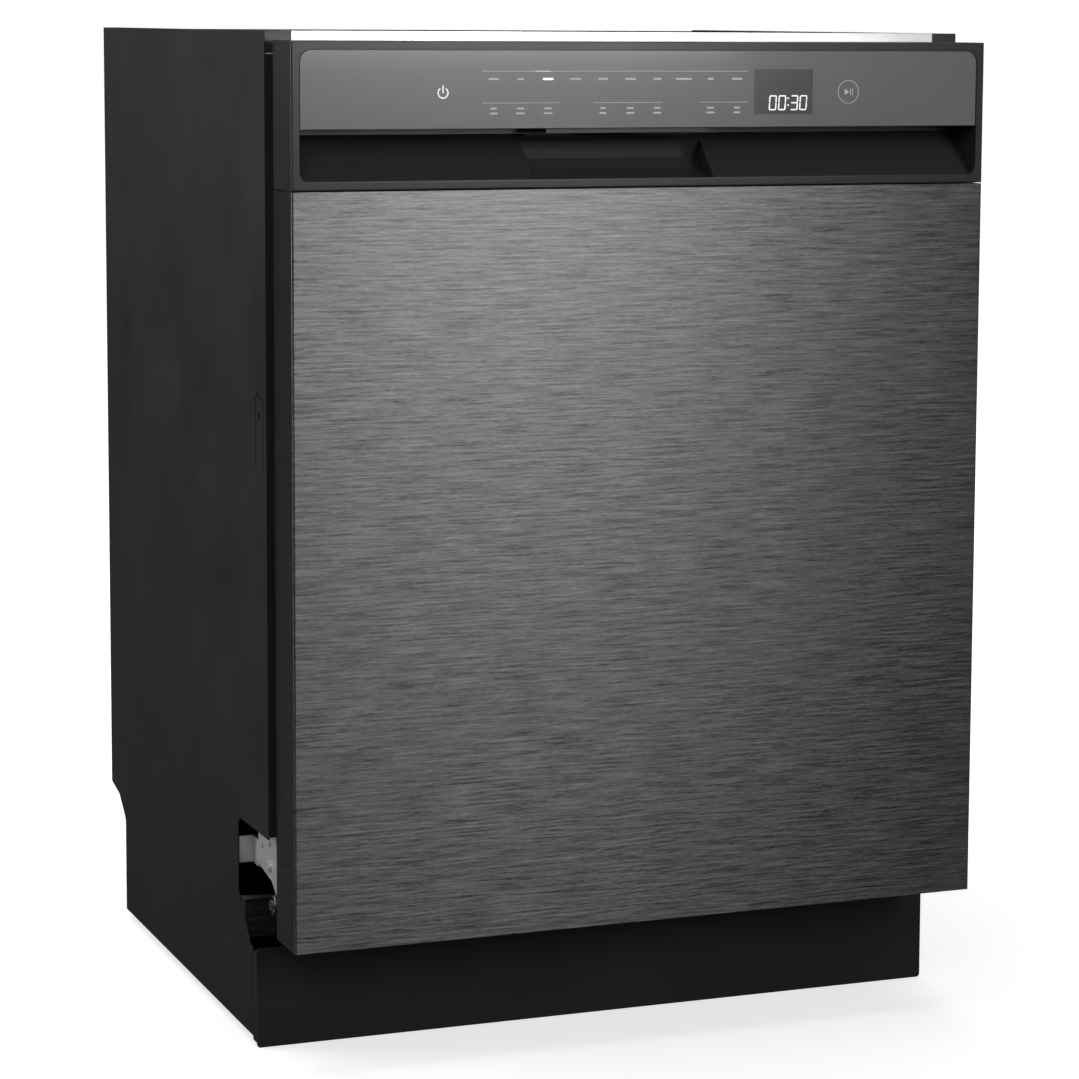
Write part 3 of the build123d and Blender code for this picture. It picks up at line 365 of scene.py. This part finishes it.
def print_start_pause():
    """A ring with a triangle and two strokes in it."""
    x, z, radius = 172.4 * MM, 771.3 * MM, 9.3 * MM
    half = 2.6 * MM  # half the height of the signs
    stroke = 0.6 * MM
    ring = arc(x, z, radius, 0.45 * MM, 72)
    play = [(x - 3.2 * MM, z - half), (x + 0.6 * MM, z), (x - 3.2 * MM, z + half)]
    pause = [rectangle(left, left + stroke, z - half, z + half)
             for left in (x + 1.6 * MM, x + 3.4 * MM)]
    marks("start_pause_ring", ring + [play] + pause, INK_WITH_PAINTED_GLOW)


def print_power():
    """A ring that is open at the top, with a stroke in the opening."""
    x, z, radius, stroke = -173.3 * MM, 771.2 * MM, 4.4 * MM, 0.8 * MM
    ring = arc(x, z, radius, stroke, 40, start=125, end=415)
    upright = rectangle(x - stroke / 2, x + stroke / 2, z, z + 5.6 * MM)
    marks("power_symbol", ring + [upright], BRIGHT)


def print_display():
    """A lit time and, above it, unlit digits, with unlit rings at both sides."""
    width, height, stroke = 5.6 * MM, 11.0 * MM, 0.95 * MM
    time_z, unlit_z = 757.2 * MM, 774.5 * MM
    lit, unlit = [], []
    for place, character in zip((102.4, 110.6, 121.2, 129.2), "0030"):
        lit += digit(character, place * MM, time_z, width, height, stroke)
        unlit += digit("8", (place - 1.5) * MM, unlit_z, width, height * 0.8, stroke * 0.7)
    for z in (760.8, 766.2):
        lit.append(bar(119.1 * MM, z * MM, 1.4 * MM, 1.3 * MM))
    for x in (93.5, 136.9):
        for z in (758.5, 764.5, 778, 784.5):
            unlit += arc(x * MM, z * MM, 2.0 * MM, 0.5 * MM, 16)
    marks("display_time", lit, BRIGHT, DISPLAY_FACE)
    marks("display_unlit", unlit, GHOST, DISPLAY_FACE)


print_legends()
print_start_pause()
print_power()
print_display()


# ---------------------------------------------------------------- small trim
def screw_heads(name, places, axis, radius, body):
    """Domed cross-slot screw heads on a face, each standing out along axis."""
    rings = ((1.0, 0.0), (1.0, 0.25), (0.86, 0.42), (0.5, 0.52), (0.34, 0.52), (0.22, 0.2))
    cross_within = 0.5  # rings smaller than this are drawn in to a cross
    around = 20
    turn = Vector((0, 0, 1)).rotation_difference(Vector(axis)).to_matrix()
    corners, faces = [], []
    for place in places:
        start = len(corners)
        for share, high in rings:
            for i in range(around):
                angle = 2 * math.pi * i / around
                reach = share * (0.75 + 0.25 * math.cos(4 * angle) if share < cross_within else 1.0)
                spot = Vector((reach * math.cos(angle), reach * math.sin(angle), high))
                corners.append(tuple(Vector(place) + turn @ (spot * radius)))
        faces += wall_of_rings(start, len(rings), around)
        last = start + (len(rings) - 1) * around
        faces.append(tuple(range(last, last + around)))
        faces.append(tuple(reversed(range(start, start + around))))
    add_piece(name, corners, faces, "zinc_steel", body, smooth=True)


def tips(name, xs, top, body):
    """Rounded nylon tips, each a small lathe shape, on rows of prongs at xs, all in mm."""
    profile = ((0.0, -4.4), (1.7, -4.4), (2.3, -3.4), (2.3, 0.6), (1.9, 2.2), (0.0, 2.4))
    around = 10
    depths = range(140, 500, 30)  # of the prongs, from the front of the door
    front_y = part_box("door_outer_panel")[0].y
    corners, faces = [], []
    for x in xs:
        for depth in depths:
            start = len(corners)
            for radius, high in profile:
                for i in range(around):
                    angle = 2 * math.pi * i / around
                    corners.append(((x + radius * math.cos(angle)) * MM,
                                    front_y + (depth + radius * math.sin(angle)) * MM,
                                    (top + high) * MM))
            faces += wall_of_rings(start, len(profile), around)
    add_piece(name, corners, faces, "rack_wire", body, smooth=True)


def liner_screws():
    """Screws along both sides of the door's inner liner."""
    sheet, edge = 1.0 * MM, 10 * MM  # thickness of its rim, and how far in the screws stand
    liner_low, liner_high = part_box("door_inner_liner")
    face_y = liner_low.y + sheet
    side_x = liner_high.x - edge
    places = [(side * side_x, face_y, z * MM) for side in (-1, 1) for z in range(200, 761, 140)]
    screw_heads("liner_screws", places, (0, 1, 0), 3.2 * MM, "door")


liner_screws()
tips("lower_rack_tips", (-170.2, -56.7, 18.9), 276, "lower_rack")
tips("upper_rack_tips", (115.8, 193.0), 534, "upper_rack")


# ---------------------------------------------------------------- floor, light and camera
def seen_or_not(tree, seen, unseen):
    """Mix two shaders: the first one for what the camera sees, the second for all other light."""
    ray = tree.nodes.new("ShaderNodeLightPath")
    choose = tree.nodes.new("ShaderNodeMixShader")
    tree.links.new(ray.outputs["Is Camera Ray"], choose.inputs["Fac"])
    tree.links.new(unseen, choose.inputs[1])
    tree.links.new(seen, choose.inputs[2])
    return choose.outputs["Shader"]


def pale_floor():
    """A near-white floor that glows more away from the object, and throws back little light."""
    pale, tree, shader = new_material("pale_floor")
    speckle = noise(tree, PLAIN, 60.0)
    tree.links.new(shade(tree, speckle, (0.88, 0.88, 0.88), 0.01), shader.inputs["Base Color"])
    shader.inputs["Roughness"].default_value = 0.8
    shader.inputs["Specular IOR Level"].default_value = 0.1
    shader.inputs["Emission Color"].default_value = (1, 1, 1, 1)
    place = tree.nodes.new("ShaderNodeTexCoord")
    distance = tree.nodes.new("ShaderNodeVectorMath")
    distance.operation = "LENGTH"
    tree.links.new(place.outputs["Object"], distance.inputs[0])
    tree.links.new(spread(tree, distance.outputs["Value"], 0.62, 0.98, start=0.8, end=3.0),
                   shader.inputs["Emission Strength"])
    dark = tree.nodes.new("ShaderNodeBsdfDiffuse")
    dark.inputs["Color"].default_value = (0.05, 0.05, 0.05, 1)
    tree.links.new(seen_or_not(tree, shader.outputs["BSDF"], dark.outputs["BSDF"]),
                   tree.nodes["Material Output"].inputs["Surface"])
    return pale


def lay_floor(half=30):
    """The flat square that the object stands on."""
    mesh = bpy.data.meshes.new("floor")
    mesh.from_pydata([(-half, -half, 0), (half, -half, 0), (half, half, 0), (-half, half, 0)], [],
                     [(0, 1, 2, 3)])
    mesh.materials.append(pale_floor())
    floor = bpy.data.objects.new("floor", mesh)
    bpy.context.scene.collection.objects.link(floor)


def studio_world():
    """White behind the object for the camera, and dim for every other ray."""
    world = bpy.data.worlds.new("studio")
    bpy.context.scene.world = world
    world.use_nodes = True
    tree = world.node_tree
    white = tree.nodes["Background"]
    white.inputs["Color"].default_value = (1, 1, 1, 1)
    dim = tree.nodes.new("ShaderNodeBackground")
    dim.inputs["Color"].default_value = (1, 1, 1, 1)
    dim.inputs["Strength"].default_value = 0.10
    tree.links.new(seen_or_not(tree, white.outputs["Background"], dim.outputs["Background"]),
                   tree.nodes["World Output"].inputs["Surface"])


def area(name, location, target, size, power, size_y=None):
    """A soft box aimed at a point, its sizes in metres and its power in watts."""
    light = bpy.data.lights.new(name, "AREA")
    light.shape = "RECTANGLE"
    light.size = size
    light.size_y = size_y or size
    light.energy = power
    lamp = bpy.data.objects.new(name, light)
    lamp.location = location
    aim = Vector(target) - Vector(location)
    lamp.rotation_euler = aim.to_track_quat("-Z", "Y").to_euler()
    bpy.context.scene.collection.objects.link(lamp)


def place_camera(spot, yaw, pitch, roll):
    """A camera at spot that looks along +Y, turned right, up and anticlockwise, in radians."""
    lens = bpy.data.cameras.new("camera")
    lens.sensor_width, lens.lens = 36, 114.279  # both in mm
    lens.shift_x, lens.shift_y = -0.0585, -0.1
    lens.clip_end = 60
    camera = bpy.data.objects.new("camera", lens)
    ahead = Vector((math.sin(yaw) * math.cos(pitch), math.cos(yaw) * math.cos(pitch),
                    math.sin(pitch)))
    level = Vector((math.cos(yaw), -math.sin(yaw), 0))
    rise = level.cross(ahead)
    right = level * math.cos(roll) + rise * math.sin(roll)
    up = rise * math.cos(roll) - level * math.sin(roll)
    turned = Matrix((right, up, -ahead)).transposed().to_4x4()
    camera.matrix_world = Matrix.Translation(spot) @ turned
    bpy.context.scene.collection.objects.link(camera)
    bpy.context.scene.camera = camera


lay_floor()
studio_world()
MIDDLE = (0, 0, 0.45)
area("key_front", (0.98, -3.3, 1.4), (0, -0.3, 0.6), 0.8, 26, size_y=1.3)
area("front_fill", (-1.9, -3.2, 2.4), MIDDLE, 1.6, 22)
area("top_soft", (0, 0.6, 3.4), MIDDLE, 3.0, 60)
area("left_fill", (-3.2, 1.6, 1.4), MIDDLE, 1.8, 46)
place_camera((-1.0374, -2.8011, 0.8293), yaw=0.3787, pitch=-0.1202, roll=0.0061)
bpy.context.scene.view_settings.view_transform = "Standard"
